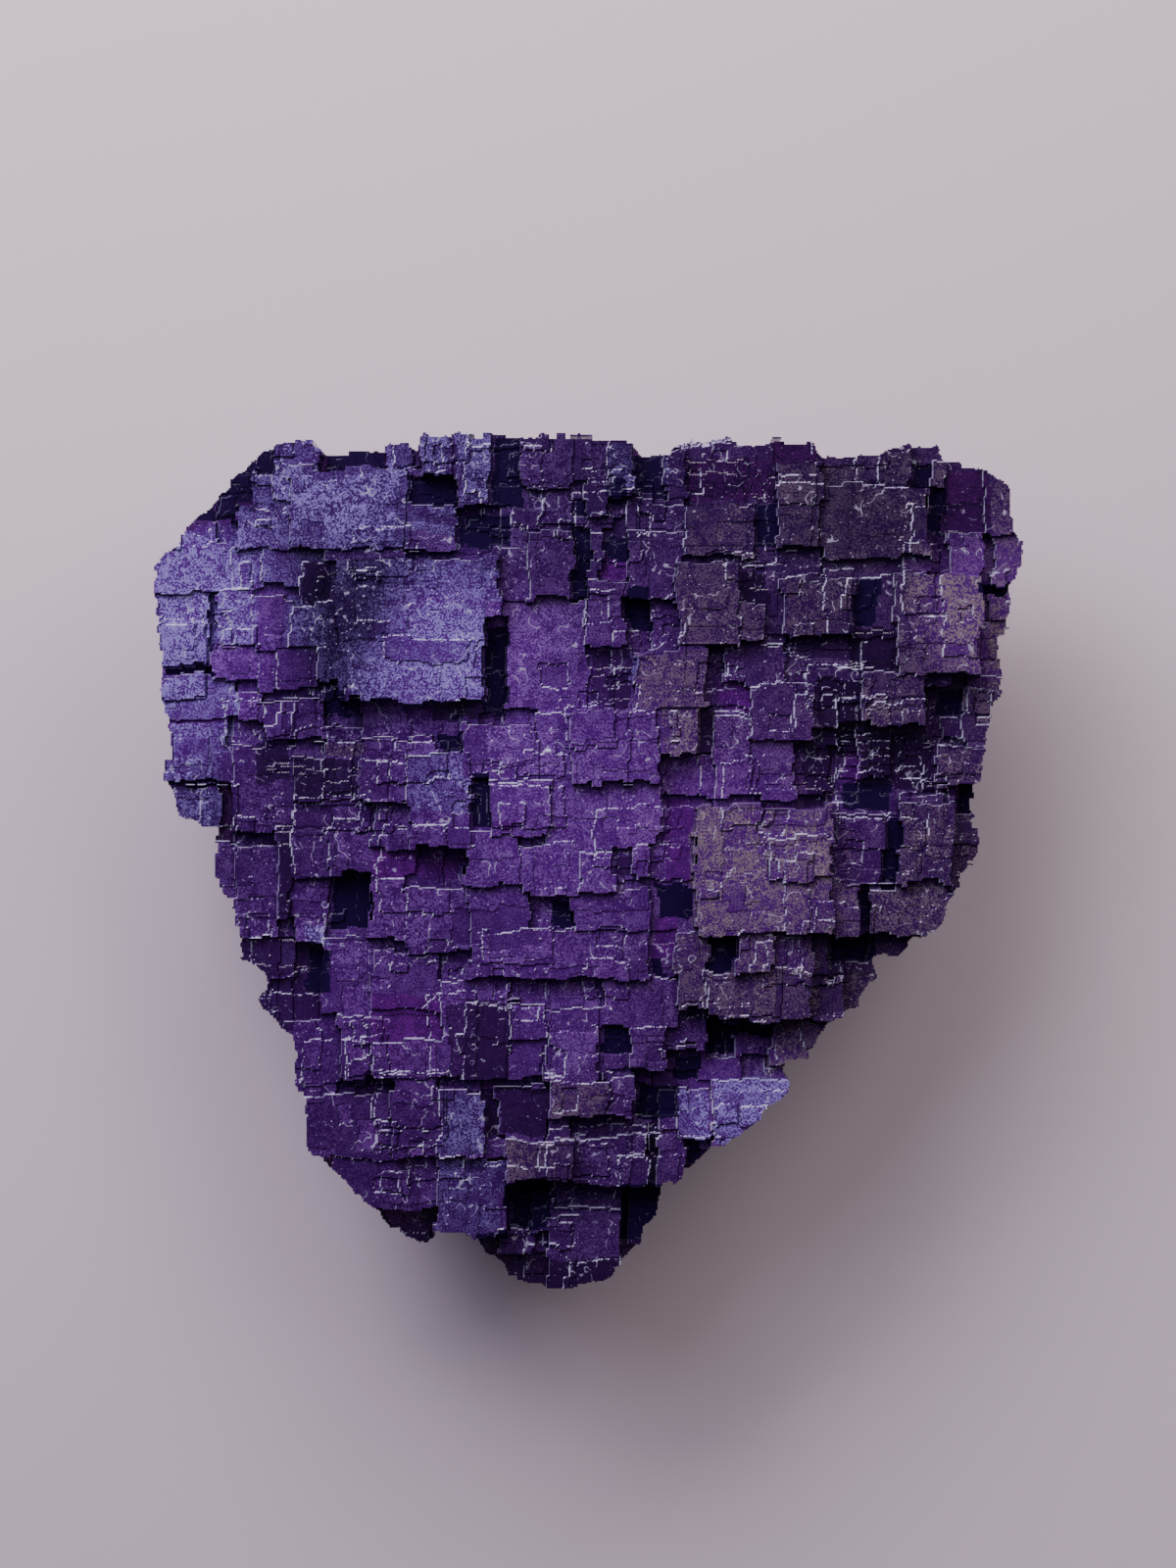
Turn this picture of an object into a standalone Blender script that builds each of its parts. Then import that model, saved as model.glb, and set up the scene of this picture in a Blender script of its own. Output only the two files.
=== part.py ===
"""A purple fluorite crystal grown as a mosaic of right-angled steps.

The crystal is a flat triangle standing on its point when seen from the front. Here it lies on its
back: the mosaic front faces +Z, the top edge of the triangle points to +Y, and a flat face under
the middle rests on the ground at z = 0.

All sizes below are millimetres. They become metres when a mesh is made.
"""

import math
import random

import bpy
from mathutils import Vector
from mathutils.geometry import intersect_point_line

# Driving dimensions
MM = 0.001
FLOOR_LEVEL = 14.8        # top of the plate that shows between the front blocks
PLATE_BOTTOM = 12.6       # underside of the plate at its outer edge
ROOT_HIGHEST = 12.3       # the front blocks run down through the plate to between these levels,
ROOT_LOWEST = 9.2         # so the underside of the edge is stepped too
BLOCK_TURN = 0.9          # largest turn of a front block about Z, in degrees
BLOCK_SLOPE = 0.012       # largest rise of a block's top per millimetre, for a block this wide:
SLOPE_WIDTH = 4.0
NARROWEST = 3.0           # blocks narrower than this lean as if they were this wide
PLATE_REACH = 40.0        # half width of the plate before it is trimmed to the crystal's edge
CUT_MARGIN = 3.0          # how far the trimming prism reaches past the crystal, up and down
CRYSTAL_TOP = 21.0        # above the highest block

# Steps of the back
BACK_PITCH = 4.3          # spacing of the blocks on the back
BACK_OVERLAP = 0.62       # half width of a back block, as a share of the pitch
TIER_RUN = 2.5            # distance inward for one step down
TIER_DROP = 2.3           # height of one step
BACK_TOP = 13.4           # inside the plate
BACK_START = 11.6         # the first step goes down from here
BACK_LOWEST = 1.6         # back blocks stop here, above the rest face
BACK_JITTER = 0.45        # how far a back block strays, sideways and in height
BACK_SLOPE = 0.004        # rise of a back block per millimetre, for each millimetre it strays
BACK_COUNT = 7            # back blocks from the middle to each side

# Rounded lump behind the top edge
LUMP_CENTRE = (8.6, 26.6, 13.2)
LUMP_RADII = (3.3, 2.15, 2.7)

SEED = 11

# The crystal's edge, clockwise from the left corner, as (x, y)
OUTLINE = [
    (-28.9, 19.8), (-28.0, 20.8), (-27.3, 21.3), (-27.0, 22.7), (-26.2, 23.5), (-25.0, 24.8),
    (-23.2, 26.1), (-22.0, 27.3), (-21.2, 27.8), (-19.6, 28.0), (-18.3, 27.9), (-17.9, 27.6),
    (-13.5, 27.7), (-13.4, 28.0), (-11.9, 27.9), (-11.1, 27.5), (-10.9, 28.5), (-9.6, 28.4),
    (-8.8, 28.2), (-8.5, 28.4), (-5.8, 28.5), (-4.6, 28.3), (-2.9, 28.5), (-0.7, 28.4),
    (-0.3, 28.2), (2.1, 28.1), (3.4, 28.1), (4.2, 27.4), (5.7, 27.2), (8.0, 27.9),
    (11.6, 27.9), (12.6, 28.2), (15.2, 28.1), (15.7, 27.3), (17.0, 27.0), (18.0, 27.2),
    (19.2, 27.1), (20.0, 27.5), (21.3, 27.8), (23.2, 28.0), (23.8, 27.1), (24.7, 27.1),
    (25.2, 26.5), (26.3, 26.5), (27.2, 26.1), (28.1, 25.5), (28.4, 24.7), (28.4, 23.3),
    (28.6, 22.2), (29.0, 21.7), (29.1, 20.2), (28.9, 18.7), (28.4, 18.4), (28.6, 17.4),
    (28.2, 16.4), (28.2, 15.1), (27.9, 14.9), (27.8, 13.3), (28.0, 13.0), (27.9, 12.1),
    (27.7, 11.0), (27.2, 10.4), (27.0, 9.4), (26.7, 8.2), (26.4, 7.6), (26.2, 6.2),
    (26.3, 5.3), (26.0, 4.9), (26.0, 3.1), (26.2, 2.8), (26.2, 0.5), (25.5, -0.4),
    (25.2, -1.4), (25.0, -2.0), (24.2, -2.7), (23.6, -4.3), (22.9, -5.0), (22.1, -5.1),
    (21.6, -5.6), (20.9, -6.3), (19.2, -6.5), (19.1, -6.9), (19.2, -8.1), (18.7, -8.6),
    (18.0, -9.7), (17.2, -10.0), (16.9, -10.5), (16.0, -10.9), (15.7, -11.5), (14.9, -12.6),
    (14.9, -13.3), (13.4, -13.5), (13.3, -14.5), (13.7, -15.1), (13.3, -15.9), (12.4, -16.6),
    (11.8, -17.3), (10.5, -18.4), (9.5, -19.2), (8.2, -19.6), (7.7, -20.2), (6.5, -21.0),
    (5.9, -21.5), (5.1, -21.7), (4.7, -23.3), (4.5, -24.3), (4.0, -24.8), (3.9, -25.7),
    (2.9, -26.6), (2.3, -27.4), (1.4, -28.2), (0.0, -28.7), (-2.0, -28.7), (-5.1, -28.4),
    (-5.5, -27.6), (-6.9, -26.4), (-7.4, -25.6), (-7.6, -24.9), (-10.1, -24.8), (-10.1, -25.5),
    (-10.5, -25.8), (-11.8, -25.5), (-12.8, -25.1), (-13.6, -24.1), (-15.3, -23.0),
    (-15.7, -22.0), (-17.3, -20.7), (-19.0, -19.6), (-19.2, -18.7), (-19.2, -17.4),
    (-19.0, -15.8), (-19.6, -15.6), (-19.7, -13.2), (-19.9, -11.6), (-21.3, -10.5),
    (-22.0, -9.2), (-21.6, -8.4), (-21.7, -7.6), (-22.6, -6.9), (-23.3, -6.5), (-23.5, -5.3),
    (-23.7, -2.5), (-24.9, -2.4), (-25.1, -0.7), (-25.1, 1.9), (-25.9, 2.5), (-26.8, 2.7),
    (-27.5, 3.1), (-27.8, 3.9), (-28.0, 5.0), (-28.3, 5.2), (-28.2, 6.8), (-28.3, 8.4),
    (-28.7, 11.7), (-28.7, 13.0), (-28.8, 15.0), (-29.0, 18.4),
]

# The flat face under the middle, a right-angled outline, as (x, y)
REST_FACE = [
    (-13.2, -4.1), (-13.2, 14.3), (-9.1, 14.3), (-9.1, 17.4), (8.2, 17.4), (8.2, 15.2),
    (13.4, 15.2), (13.4, -2.3), (9.3, -2.3), (9.3, -7.2), (4.4, -7.2), (4.4, -10.3),
    (-5.3, -10.3), (-5.3, -8.1), (-10.2, -8.1), (-10.2, -4.1),
]

# Front blocks, as (left, right, near, far, top). Gaps between them are the clear recesses.
BLOCKS = {
    "upper left": [
        (-29.6, -23.7, 17.95, 21.2, 17.6), (-27.4, -24.8, 21.0, 22.0, 17.5),
        (-26.2, -24.8, 21.9, 22.9, 17.4), (-29.6, -25.3, 13.1, 17.85, 17.3),
        (-29.3, -23.5, 9.45, 12.5, 17.4), (-29.0, -24.3, 5.25, 9.3, 17.2),
        (-28.6, -24.7, 2.1, 5.0, 16.8), (-25.2, -22.2, 12.3, 14.2, 17.8),
        (-24.8, -22.1, 14.5, 18.0, 17.9), (-23.8, -21.7, 18.1, 20.8, 17.8),
        (-21.8, -17.5, 18.5, 21.0, 18.0), (-23.6, -20.1, 20.7, 23.3, 18.2),
        (-22.4, -19.6, 23.2, 26.0, 18.0), (-20.9, -18.0, 24.1, 28.6, 18.3),
        (-19.9, -12.1, 20.9, 26.3, 18.8), (-17.7, -12.2, 20.1, 22.1, 18.5),
        (-19.2, -17.0, 17.4, 20.0, 18.1), (-13.4, -11.5, 26.2, 28.6, 18.0),
        (-22.2, -19.7, 14.3, 17.6, 18.1), (-19.8, -16.7, 14.4, 17.2, 18.3),
        (-22.1, -20.9, 11.5, 14.4, 17.9), (-20.8, -18.0, 11.4, 14.1, 18.0),
        (-18.0, -16.6, 11.9, 14.3, 18.4),
    ],
    "top middle": [
        (-10.95, -8.8, 25.6, 29.0, 19.3), (-8.7, -6.5, 23.7, 29.0, 19.1),
        (-12.0, -8.6, 20.6, 23.8, 18.6), (-6.4, -4.5, 23.1, 29.0, 17.0),
        (-4.4, -1.1, 24.9, 29.0, 19.0), (-5.1, -3.1, 22.4, 25.0, 18.4),
        (-3.1, -1.1, 22.5, 24.8, 18.6), (-1.1, 1.2, 25.4, 28.8, 18.8),
        (-0.2, 1.3, 23.0, 25.5, 18.9), (-0.9, 1.7, 22.1, 23.1, 18.5),
        (1.5, 3.2, 24.2, 28.5, 19.0), (2.6, 6.3, 22.2, 24.4, 17.9),
        (5.2, 6.7, 24.5, 28.0, 18.0), (6.6, 12.5, 24.3, 28.5, 17.2),
        (12.4, 15.9, 26.5, 28.9, 16.8),
    ],
    "middle upper": [
        (-16.6, -7.0, 10.7, 20.1, 20.3), (-7.3, -5.9, 16.2, 20.2, 20.2),
        (-6.0, -3.9, 17.4, 20.7, 18.9), (-3.9, -1.0, 17.4, 21.9, 19.3),
        (0.1, 0.9, 18.4, 21.8, 18.7), (0.9, 2.6, 18.8, 20.2, 16.8),
        (0.0, 2.4, 14.2, 18.6, 19.1), (2.4, 4.2, 14.2, 15.7, 17.0),
        (4.2, 5.9, 14.2, 18.3, 18.4), (-5.5, 0.1, 10.2, 17.2, 18.7),
        (2.6, 6.4, 17.6, 22.1, 19.0), (6.4, 11.1, 20.4, 24.0, 19.3),
        (11.1, 12.5, 21.1, 24.1, 17.5), (6.0, 10.1, 14.3, 19.9, 19.9),
        (9.8, 11.7, 14.7, 17.1, 19.7), (11.7, 13.2, 14.3, 16.9, 18.7),
        (10.2, 12.3, 19.2, 20.5, 18.0), (3.1, 8.0, 10.1, 13.9, 19.7),
        (0.2, 2.9, 10.3, 14.0, 18.4), (9.1, 13.1, 11.7, 14.3, 18.9),
        (8.7, 10.8, 9.8, 11.7, 16.2), (10.8, 15.2, 7.9, 11.8, 19.0),
        (12.9, 15.3, 11.9, 14.6, 18.4), (15.3, 16.9, 7.5, 12.6, 17.8),
        (16.9, 18.2, 9.1, 12.4, 17.2), (15.6, 17.9, 12.9, 14.9, 18.2),
    ],
    "upper right": [
        (12.6, 15.6, 21.0, 26.6, 19.6), (15.2, 18.0, 24.9, 26.9, 18.6),
        (15.8, 22.8, 20.2, 25.0, 19.2), (17.9, 19.2, 25.0, 27.6, 18.7),
        (19.4, 21.6, 25.1, 28.0, 18.9), (21.3, 23.9, 26.6, 28.5, 17.8),
        (22.9, 23.9, 25.1, 26.9, 18.2), (24.1, 26.7, 22.1, 27.0, 17.0),
        (26.6, 29.3, 21.9, 26.6, 17.6), (27.1, 29.6, 18.4, 21.9, 17.3),
        (20.5, 26.3, 12.6, 19.2, 19.4), (26.8, 29.0, 16.0, 17.9, 17.0),
        (26.6, 28.8, 13.0, 15.9, 16.8), (12.9, 17.8, 15.0, 19.0, 19.5),
        (19.4, 20.4, 15.2, 18.1, 17.4), (17.8, 20.4, 12.8, 15.7, 17.2),
        (12.8, 17.3, 19.0, 20.2, 18.5), (18.3, 22.6, 9.1, 12.8, 19.2),
        (22.5, 24.2, 11.7, 12.7, 18.3), (25.3, 28.4, 7.6, 12.6, 17.2),
        (23.9, 25.3, 8.0, 9.4, 16.9), (23.2, 26.8, 4.9, 7.5, 18.4),
        (24.1, 26.4, 19.2, 22.0, 17.9), (16.8, 18.1, 5.3, 8.8, 16.7),
        (18.0, 20.2, 5.6, 9.0, 17.9), (20.9, 22.7, 8.1, 9.1, 17.4),
        (20.2, 23.0, 5.2, 7.9, 16.9), (14.0, 16.3, 4.6, 7.8, 17.6),
    ],
    "right lower": [
        (20.8, 24.5, -1.5, 3.9, 18.8), (16.4, 19.8, -1.5, 3.0, 18.0),
        (24.5, 26.8, -1.9, 2.9, 16.8), (19.1, 24.6, -4.9, -1.9, 18.2),
        (18.6, 23.4, -6.9, -4.8, 16.8), (16.9, 19.6, -10.3, -7.0, 17.0),
        (7.2, 16.2, -5.0, 3.7, 20.4), (12.2, 16.3, -1.3, 1.6, 20.7),
        (9.9, 12.3, -7.4, -4.9, 20.0), (12.4, 18.3, -5.0, -1.4, 19.6),
        (6.0, 8.1, -10.0, -4.7, 19.2), (7.9, 15.0, -10.6, -7.3, 19.4),
        (12.3, 15.1, -7.4, -4.9, 19.3), (14.9, 17.0, -10.6, -7.9, 18.2),
        (14.9, 16.1, -7.6, -5.1, 18.4), (8.9, 12.3, -10.9, -9.9, 18.9),
        (12.3, 16.4, -13.8, -10.5, 17.6), (5.0, 6.7, 1.4, 2.9, 17.6),
        (5.2, 6.6, -1.2, 1.3, 17.9), (4.4, 5.9, -6.5, -4.0, 17.2),
        (21.0, 23.8, 3.8, 4.6, 17.9), (16.2, 17.1, 2.2, 3.8, 16.4),
    ],
    "centre": [
        (-8.3, -3.4, 5.7, 9.1, 19.3), (-3.3, -1.2, 7.2, 10.0, 19.0),
        (-1.1, 2.9, 5.2, 10.0, 19.9), (2.9, 4.8, 5.2, 9.9, 19.8),
        (5.0, 7.4, 7.1, 10.2, 19.5), (-6.4, -2.5, 1.6, 5.5, 19.6),
        (-3.2, 0.0, 4.7, 7.2, 19.2), (-8.1, -4.4, -1.7, 1.8, 19.4),
        (-2.6, 4.9, 0.9, 4.9, 19.2), (-4.3, -0.4, -2.3, 1.0, 19.3),
        (-0.5, 1.7, -1.9, 0.6, 19.6), (3.0, 4.3, -1.2, 0.8, 19.3),
        (-1.0, 4.1, -4.6, -1.8, 19.1), (-3.7, 4.1, -7.9, -4.4, 18.9),
        (-8.0, -3.9, -7.9, -1.9, 18.9), (8.4, 11.0, 4.2, 9.5, 18.8),
        (7.4, 8.5, 4.2, 7.0, 18.3), (10.9, 13.9, 4.2, 9.4, 18.6),
        (5.0, 7.5, 4.4, 6.9, 18.2), (8.5, 10.8, 8.3, 9.8, 18.5),
        (-5.6, -3.4, 9.3, 10.3, 18.2), (-10.2, -8.4, 8.6, 9.7, 18.5),
    ],
    "left middle": [
        (-23.4, -21.8, 9.3, 11.5, 17.8), (-21.7, -19.7, 8.0, 10.7, 17.9),
        (-19.8, -17.8, 8.0, 10.7, 18.1), (-17.6, -15.0, 7.2, 8.9, 18.2),
        (-17.7, -14.5, 9.0, 11.6, 17.4), (-23.9, -19.8, 1.9, 7.6, 17.6),
        (-19.8, -15.2, 4.1, 6.9, 18.2), (-15.1, -11.9, 3.9, 8.2, 19.2),
        (-12.0, -10.1, 6.0, 8.5, 19.1), (-12.0, -7.7, 0.8, 7.3, 19.5),
        (-14.4, -11.9, 0.8, 3.8, 18.4), (-14.4, -11.2, -1.0, 0.6, 18.0),
        (-11.2, -8.4, -1.7, 0.4, 17.4), (-23.7, -20.8, -5.4, 1.0, 17.2),
        (-25.5, -23.7, -2.8, 1.2, 16.6), (-20.8, -19.9, -4.0, 2.3, 17.7),
        (-19.8, -17.2, -1.0, 3.8, 17.8), (-17.3, -14.5, -0.9, 3.9, 18.0),
        (-17.1, -14.7, -4.8, -2.7, 16.2), (-14.5, -12.0, -5.3, -1.1, 18.2),
        (-12.1, -8.1, -6.1, -1.8, 18.3), (-24.0, -19.7, -8.1, -5.5, 16.6),
        (-22.4, -19.7, -11.9, -8.2, 16.2), (-19.7, -17.3, -5.6, -1.2, 17.3),
        (-19.7, -18.0, -9.9, -5.8, 16.0), (-17.8, -14.4, -10.3, -5.2, 17.4),
    ],
    "lower": [
        (-14.5, -9.9, -9.9, -6.1, 18.0), (-14.6, -9.9, -11.9, -10.1, 17.8),
        (-9.7, -5.1, -14.5, -8.0, 18.2), (-5.1, -2.7, -11.9, -9.5, 18.4),
        (-5.0, -2.5, -14.6, -12.1, 18.1), (-2.7, 0.8, -14.6, -9.9, 18.5),
        (-16.8, -14.5, -14.6, -10.4, 17.8), (-20.3, -16.7, -15.6, -10.6, 17.0),
        (-14.5, -9.9, -14.6, -12.0, 18.2), (-13.1, -10.1, -19.8, -14.7, 18.0),
        (-19.7, -13.0, -19.9, -15.7, 17.2), (-9.9, -6.9, -19.9, -15.4, 18.2),
        (-6.9, -6.0, -18.5, -14.7, 17.0), (-6.0, -2.8, -18.5, -15.1, 17.8),
        (-2.7, 1.4, -17.2, -14.7, 18.6), (1.4, 3.1, -17.3, -14.4, 18.3),
        (-5.6, -0.9, -21.6, -18.7, 18.4), (-0.9, 4.1, -22.0, -18.5, 17.4),
        (-2.9, 4.2, -18.6, -17.2, 17.0), (-10.1, -5.4, -25.2, -20.1, 17.6),
        (-17.0, -10.2, -23.4, -19.9, 17.0), (-16.0, -10.4, -26.2, -23.3, 15.4),
        (-3.8, -2.4, -25.1, -22.6, 16.2), (-2.5, 2.4, -28.9, -23.6, 16.2),
        (-2.4, 2.4, -23.7, -21.9, 15.8), (-6.0, -3.4, -26.6, -25.0, 16.0),
        (2.9, 5.4, -25.9, -21.6, 15.4), (1.2, 6.1, -11.2, -7.9, 18.4),
        (2.9, 5.3, -13.9, -11.2, 18.6), (0.9, 2.8, -14.2, -13.0, 17.4),
        (3.1, 4.4, -14.9, -13.8, 17.2), (5.5, 7.9, -12.5, -10.1, 17.9),
        (7.5, 10.4, -14.7, -13.2, 17.0), (9.7, 12.2, -13.1, -11.3, 17.0),
        (12.0, 14.0, -14.6, -13.2, 16.6), (8.4, 14.1, -19.9, -14.7, 17.6),
        (5.9, 8.1, -18.8, -15.2, 17.4), (4.6, 6.5, -22.0, -18.4, 17.0),
        (4.7, 5.9, -18.3, -15.5, 17.2), (6.6, 8.5, -20.5, -19.2, 16.2),
    ],
}

CRYSTAL_COLOUR = (0.13, 0.06, 0.27, 1.0)
CRYSTAL_ROUGHNESS = 0.38


def clear_scene():
    """Remove every object, so the script gives the same result each time."""
    for old in list(bpy.data.objects):
        bpy.data.objects.remove(old, do_unlink=True)


def add_box(points, faces, bounds, bottom, top, turn, slope):
    """Add one upright block. It is turned a little about Z and its top leans a little."""
    left, right, near, far = bounds
    centre = Vector(((left + right) / 2, (near + far) / 2))
    corners = [(left, near), (right, near), (right, far), (left, far)]
    first = len(points)
    for level, lean in ((bottom, 0.0), (top, 1.0)):
        for x, y in corners:
            out = Vector((x, y)) - centre
            across = out.x * math.cos(turn) - out.y * math.sin(turn)
            along = out.x * math.sin(turn) + out.y * math.cos(turn)
            rise = lean * (slope[0] * out.x + slope[1] * out.y)
            points.append((centre.x + across, centre.y + along, level + rise))
    low, high = range(first, first + 4), range(first + 4, first + 8)
    faces.append(tuple(reversed(low)))
    faces.append(tuple(high))
    for i in range(4):
        j = (i + 1) % 4
        faces.append((low[i], low[j], high[j], high[i]))


def add_prism(points, faces, outline, bottom, top):
    """Add an upright prism over a closed outline of (x, y) points."""
    area = sum(a[0] * b[1] - b[0] * a[1] for a, b in zip(outline, outline[1:] + outline[:1]))
    ring = list(outline) if area > 0 else list(reversed(outline))
    first = len(points)
    count = len(ring)
    points.extend((x, y, bottom) for x, y in ring)
    points.extend((x, y, top) for x, y in ring)
    faces.append(tuple(first + i for i in reversed(range(count))))
    faces.append(tuple(first + count + i for i in range(count)))
    for i in range(count):
        j = (i + 1) % count
        faces.append((first + i, first + j, first + count + j, first + count + i))


def edge_distance(x, y):
    """Distance from a point to the crystal's edge: positive inside, negative outside."""
    nearest = math.inf
    inside = False
    for (x1, y1), (x2, y2) in zip(OUTLINE, OUTLINE[1:] + OUTLINE[:1]):
        start, end, point = Vector((x1, y1)), Vector((x2, y2)), Vector((x, y))
        on_line, share = intersect_point_line(point, start, end)
        on_edge = start.lerp(end, min(max(share, 0.0), 1.0))
        nearest = min(nearest, (point - on_edge).length)
        if (y1 > y) != (y2 > y) and x < x1 + (y - y1) / (y2 - y1) * (x2 - x1):
            inside = not inside
    return nearest if inside else -nearest


def add_front(points, faces, dice):
    """Add the plate and all the blocks that stand on it."""
    plate = (-PLATE_REACH, PLATE_REACH, -PLATE_REACH, PLATE_REACH)
    add_box(points, faces, plate, PLATE_BOTTOM, FLOOR_LEVEL, 0.0, (0, 0))
    for region in BLOCKS.values():
        for left, right, near, far, top in region:
            turn = math.radians(dice.uniform(-BLOCK_TURN, BLOCK_TURN))
            # A wide block leans less, so its far corner stays near its own level.
            lean = BLOCK_SLOPE * SLOPE_WIDTH / max(right - left, far - near, NARROWEST)
            slope = (dice.uniform(-lean, lean), dice.uniform(-lean, lean))
            root = dice.uniform(ROOT_LOWEST, ROOT_HIGHEST)
            add_box(points, faces, (left, right, near, far), root, top, turn, slope)


def add_back(points, faces, dice):
    """Add the steps of the back, which go down from the rim to the middle, and the rest face."""
    half = BACK_PITCH * BACK_OVERLAP
    cells = range(-BACK_COUNT, BACK_COUNT + 1)
    for row in cells:
        for column in cells:
            x = column * BACK_PITCH + dice.uniform(-BACK_JITTER, BACK_JITTER)
            y = row * BACK_PITCH + dice.uniform(-BACK_JITTER, BACK_JITTER)
            turn = math.radians(dice.uniform(-BLOCK_TURN, BLOCK_TURN))
            stray = dice.uniform(-BACK_JITTER, BACK_JITTER)
            tier = math.floor(edge_distance(x, y) / TIER_RUN)
            if tier < 1:
                continue
            bottom = max(BACK_START - TIER_DROP * tier, BACK_LOWEST) + stray
            top = BACK_TOP + stray
            slope = (BACK_SLOPE * stray, -BACK_SLOPE * stray)
            add_box(points, faces, (x - half, x + half, y - half, y + half), bottom, top, turn, slope)
    add_prism(points, faces, REST_FACE, 0.0, BACK_TOP)


def make_object(name, points, faces):
    """Turn millimetre points and faces into an object in metres."""
    mesh = bpy.data.meshes.new(name)
    mesh.from_pydata([Vector(p) * MM for p in points], [], faces)
    mesh.update()
    thing = bpy.data.objects.new(name, mesh)
    bpy.context.scene.collection.objects.link(thing)
    return thing


def combine(target, tool, operation):
    """Cut or join target with tool, keep the result in target and remove the tool."""
    step = target.modifiers.new(operation.title(), "BOOLEAN")
    step.operation = operation
    step.solver = "EXACT"
    step.use_self = True
    step.object = tool
    depsgraph = bpy.context.evaluated_depsgraph_get()
    result = bpy.data.meshes.new_from_object(target.evaluated_get(depsgraph))
    target.modifiers.clear()
    target.data = result
    bpy.data.objects.remove(tool, do_unlink=True)


def make_lump(dice):
    """The rounded lump: a ball of flat facets, squashed and slightly uneven."""
    rings, around = 7, 14
    points = [(0.0, 0.0, -1.0)]
    for i in range(1, rings):
        polar = math.pi * i / rings
        for j in range(around):
            angle = math.tau * (j + 0.5 * (i % 2)) / around
            swell = dice.uniform(0.95, 1.0)
            flat = math.sin(polar) * swell
            points.append((flat * math.cos(angle), flat * math.sin(angle), -math.cos(polar) * swell))
    points.append((0.0, 0.0, 1.0))
    faces = []
    for j in range(around):
        k = (j + 1) % around
        faces.append((0, 1 + k, 1 + j))
        last = 1 + (rings - 2) * around
        faces.append((len(points) - 1, last + j, last + k))
    for i in range(rings - 2):
        for j in range(around):
            k = (j + 1) % around
            below, above = 1 + i * around, 1 + (i + 1) * around
            shift = i % 2 == 0
            near, far = (below + j, below + k), (above + j, above + k)
            if shift:
                faces.append((near[0], near[1], far[0]))
                faces.append((near[1], far[1], far[0]))
            else:
                faces.append((near[0], near[1], far[1]))
                faces.append((near[0], far[1], far[0]))
    placed = [tuple(c + r * v for c, r, v in zip(LUMP_CENTRE, LUMP_RADII, p)) for p in points]
    return make_object("lump", placed, faces)


def settle(crystal):
    """Put the middle of the crystal's footprint at the origin, with its lowest face at z = 0."""
    corners = [Vector(corner) for corner in crystal.bound_box]
    low = Vector([min(c[axis] for c in corners) for axis in range(3)])
    high = Vector([max(c[axis] for c in corners) for axis in range(3)])
    shift = Vector(((low.x + high.x) / 2, (low.y + high.y) / 2, low.z))
    for vertex in crystal.data.vertices:
        vertex.co -= shift


def make_material():
    """Deep violet with a soft gloss."""
    material = bpy.data.materials.new("fluorite")
    material.use_nodes = True
    material.diffuse_color = CRYSTAL_COLOUR
    shader = material.node_tree.nodes["Principled BSDF"]
    shader.inputs["Base Color"].default_value = CRYSTAL_COLOUR
    shader.inputs["Roughness"].default_value = CRYSTAL_ROUGHNESS
    shader.inputs["Metallic"].default_value = 0.0
    return material


def main():
    clear_scene()
    dice = random.Random(SEED)
    points, faces = [], []
    add_front(points, faces, dice)
    add_back(points, faces, dice)
    crystal = make_object("fluorite_crystal", points, faces)
    points, faces = [], []
    add_prism(points, faces, OUTLINE, -CUT_MARGIN, CRYSTAL_TOP + CUT_MARGIN)
    trim = make_object("trim", points, faces)
    combine(crystal, trim, "INTERSECT")
    combine(crystal, make_lump(dice), "UNION")
    settle(crystal)
    crystal.data.materials.clear()
    crystal.data.materials.append(make_material())


main()
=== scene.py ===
# %% [markdown]
# # A stepped purple fluorite crystal
# Fluorite grows as cubes. This crystal is a flat mosaic of hundreds of small cube corners and
# cube faces, all turned the same way, with the outline of a triangle. The solid from the part
# gives the large blocks. Here the crystal gets its fine steps, its etched faces and its colour.

# %% The frame
import time

import bpy
import numpy as np
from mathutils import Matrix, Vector


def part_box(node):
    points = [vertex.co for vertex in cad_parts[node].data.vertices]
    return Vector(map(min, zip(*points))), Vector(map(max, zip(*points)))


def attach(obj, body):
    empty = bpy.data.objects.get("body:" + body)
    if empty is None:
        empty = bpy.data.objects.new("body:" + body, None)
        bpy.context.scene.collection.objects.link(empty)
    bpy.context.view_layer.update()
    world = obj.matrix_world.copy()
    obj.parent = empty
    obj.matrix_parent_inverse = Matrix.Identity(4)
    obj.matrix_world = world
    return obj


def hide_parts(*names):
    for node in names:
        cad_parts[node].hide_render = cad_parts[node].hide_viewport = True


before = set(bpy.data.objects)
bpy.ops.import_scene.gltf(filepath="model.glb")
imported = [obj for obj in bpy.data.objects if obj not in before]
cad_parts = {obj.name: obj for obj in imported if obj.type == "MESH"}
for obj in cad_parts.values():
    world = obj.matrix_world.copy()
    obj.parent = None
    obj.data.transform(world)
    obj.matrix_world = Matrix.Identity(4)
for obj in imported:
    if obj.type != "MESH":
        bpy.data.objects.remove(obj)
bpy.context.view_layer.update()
MM = 0.001
NODE = "fluorite_crystal"
low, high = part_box(NODE)
print("solid from", [round(v / MM, 2) for v in low], "to", [round(v / MM, 2) for v in high])

# %% [markdown]
# ## Camera
# The crystal lies on its back, so the camera looks straight down on it. A long lens 29 cm above it
# gives the flat look of a close-up. The distance follows from the width of the picture at the
# crystal's face, because a camera sees a width of distance * sensor / focal length.

# %% The camera
PICTURE_WIDTH = 78.6 * MM
PICTURE_ASPECT = 1600 / 1200
PICTURE_MIDDLE_Y = 5.17 * MM
FACE_LEVEL = 18.5 * MM
# Focal length and longer side of the sensor, in millimetres
FOCAL_LENGTH = 100.0
SENSOR = 36.0

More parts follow.
